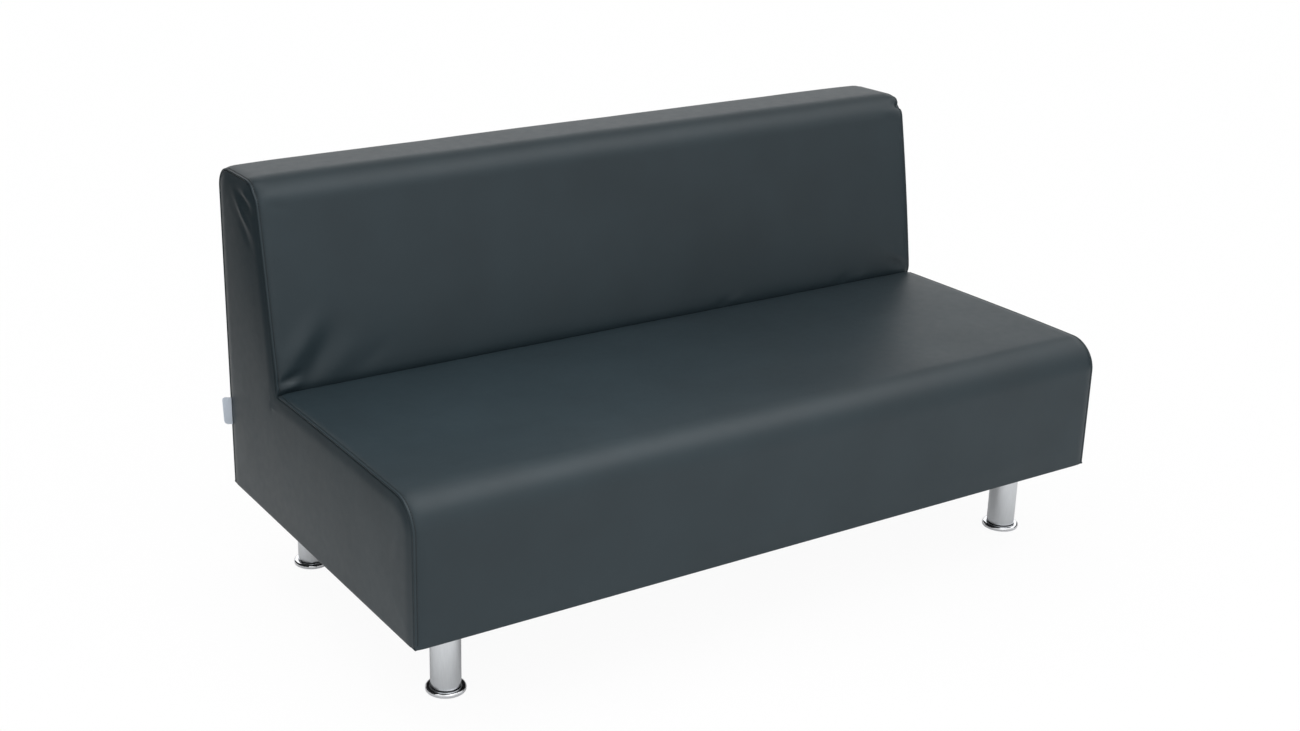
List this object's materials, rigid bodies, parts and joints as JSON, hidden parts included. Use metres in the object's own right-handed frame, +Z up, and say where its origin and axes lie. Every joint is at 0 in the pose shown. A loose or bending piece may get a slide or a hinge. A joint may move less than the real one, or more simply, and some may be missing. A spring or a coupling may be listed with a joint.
{
  "type": "sofa module",
  "caption": "Armless sofa module: box seat with a leaning backrest in seamed leatherette over foam and a wooden frame, on round metal legs with levelling feet.",
  "frame": {"origin": "on the floor under the middle of the upholstered body", "axes": "+X along the sofa towards the picture's right, -Y out of the front, +Z up; left and right in names are as seen from the front"},
  "size_m": [1.4111, 0.7239, 0.736],
  "materials": {
    "leatherette": "satin, very fine grain, dark blue-grey",
    "tab_cloth": "woven, bare",
    "dust_cloth": "thin felted cloth",
    "foam": "open-cell upholstery foam",
    "plywood": "raw birch plywood",
    "hardboard": "hardboard, smooth side out",
    "beech": "raw beech",
    "webbing": "elastic webbing",
    "satin_metal": "satin, pale grey",
    "chrome": "polished",
    "zinc_steel": "zinc plated",
    "black_plastic": "moulded, matte"
  },
  "bodies": {
    "sofa": {"back_cover": "leatherette", "back_foam": "foam", "back_panel": "hardboard", "back_straps": "webbing", "centre_rib": "plywood", "cheek_left": "plywood", "cheek_right": "plywood", "corner_blocks": "beech", "dust_cover": "dust_cloth", "frame_dowels": "beech", "front_foam": "foam", "front_rail": "plywood", "leg_board_left": "plywood", "leg_board_right": "plywood", "leg_bolts": "zinc_steel", "leg_inserts": "black_plastic", "leg_nuts": "zinc_steel", "leg_tops": "zinc_steel", "leg_tube_front_left": "satin_metal", "leg_tube_front_right": "satin_metal", "leg_tube_rear_left": "satin_metal", "leg_tube_rear_right": "satin_metal", "rear_foam": "foam", "rear_rail": "plywood", "seat_cover": "leatherette", "seat_foam": "foam", "seat_rear_rail": "plywood", "seat_straps_cross": "webbing", "seat_straps_long": "webbing", "side_cover_left": "leatherette", "side_cover_right": "leatherette", "side_foam_back_left": "foam", "side_foam_back_right": "foam", "side_foam_seat_left": "foam", "side_foam_seat_right": "foam", "side_tab": "tab_cloth", "top_board": "plywood", "top_foam": "foam", "top_rail": "plywood"},
    "glide_front_left": {"foot_glide_front_left": "black_plastic"},
    "foot_front_left": {"foot_disc_front_left": "chrome", "foot_stud_front_left": "zinc_steel"},
    "glide_front_right": {"foot_glide_front_right": "black_plastic"},
    "foot_front_right": {"foot_disc_front_right": "chrome", "foot_stud_front_right": "zinc_steel"},
    "glide_rear_left": {"foot_glide_rear_left": "black_plastic"},
    "foot_rear_left": {"foot_disc_rear_left": "chrome", "foot_stud_rear_left": "zinc_steel"},
    "glide_rear_right": {"foot_glide_rear_right": "black_plastic"},
    "foot_rear_right": {"foot_disc_rear_right": "chrome", "foot_stud_rear_right": "zinc_steel"}
  },
  "joints": [
    {"name": "travel_front_left", "type": "slide", "parent": "sofa", "child": "glide_front_left", "axis": [0, 0, -1], "range_m": [0, 0.012]},
    {"name": "turn_front_left", "type": "hinge", "parent": "glide_front_left", "child": "foot_front_left", "pos_m": [-0.598, -0.264, 0], "axis": [0, 0, -1], "range_deg": [0, 2880]},
    {"name": "travel_front_right", "type": "slide", "parent": "sofa", "child": "glide_front_right", "axis": [0, 0, -1], "range_m": [0, 0.012]},
    {"name": "turn_front_right", "type": "hinge", "parent": "glide_front_right", "child": "foot_front_right", "pos_m": [0.598, -0.264, 0], "axis": [0, 0, -1], "range_deg": [0, 2880]},
    {"name": "travel_rear_left", "type": "slide", "parent": "sofa", "child": "glide_rear_left", "axis": [0, 0, -1], "range_m": [0, 0.012]},
    {"name": "turn_rear_left", "type": "hinge", "parent": "glide_rear_left", "child": "foot_rear_left", "pos_m": [-0.598, 0.249, 0], "axis": [0, 0, -1], "range_deg": [0, 2880]},
    {"name": "travel_rear_right", "type": "slide", "parent": "sofa", "child": "glide_rear_right", "axis": [0, 0, -1], "range_m": [0, 0.012]},
    {"name": "turn_rear_right", "type": "hinge", "parent": "glide_rear_right", "child": "foot_rear_right", "pos_m": [0.598, 0.249, 0], "axis": [0, 0, -1], "range_deg": [0, 2880]}
  ],
  "couplings": [
    {"joint": "travel_front_left", "follows": "turn_front_left", "m_per_rad": 0.00023873},
    {"joint": "travel_front_right", "follows": "turn_front_right", "m_per_rad": 0.00023873},
    {"joint": "travel_rear_left", "follows": "turn_rear_left", "m_per_rad": 0.00023873},
    {"joint": "travel_rear_right", "follows": "turn_rear_right", "m_per_rad": 0.00023873}
  ]
}
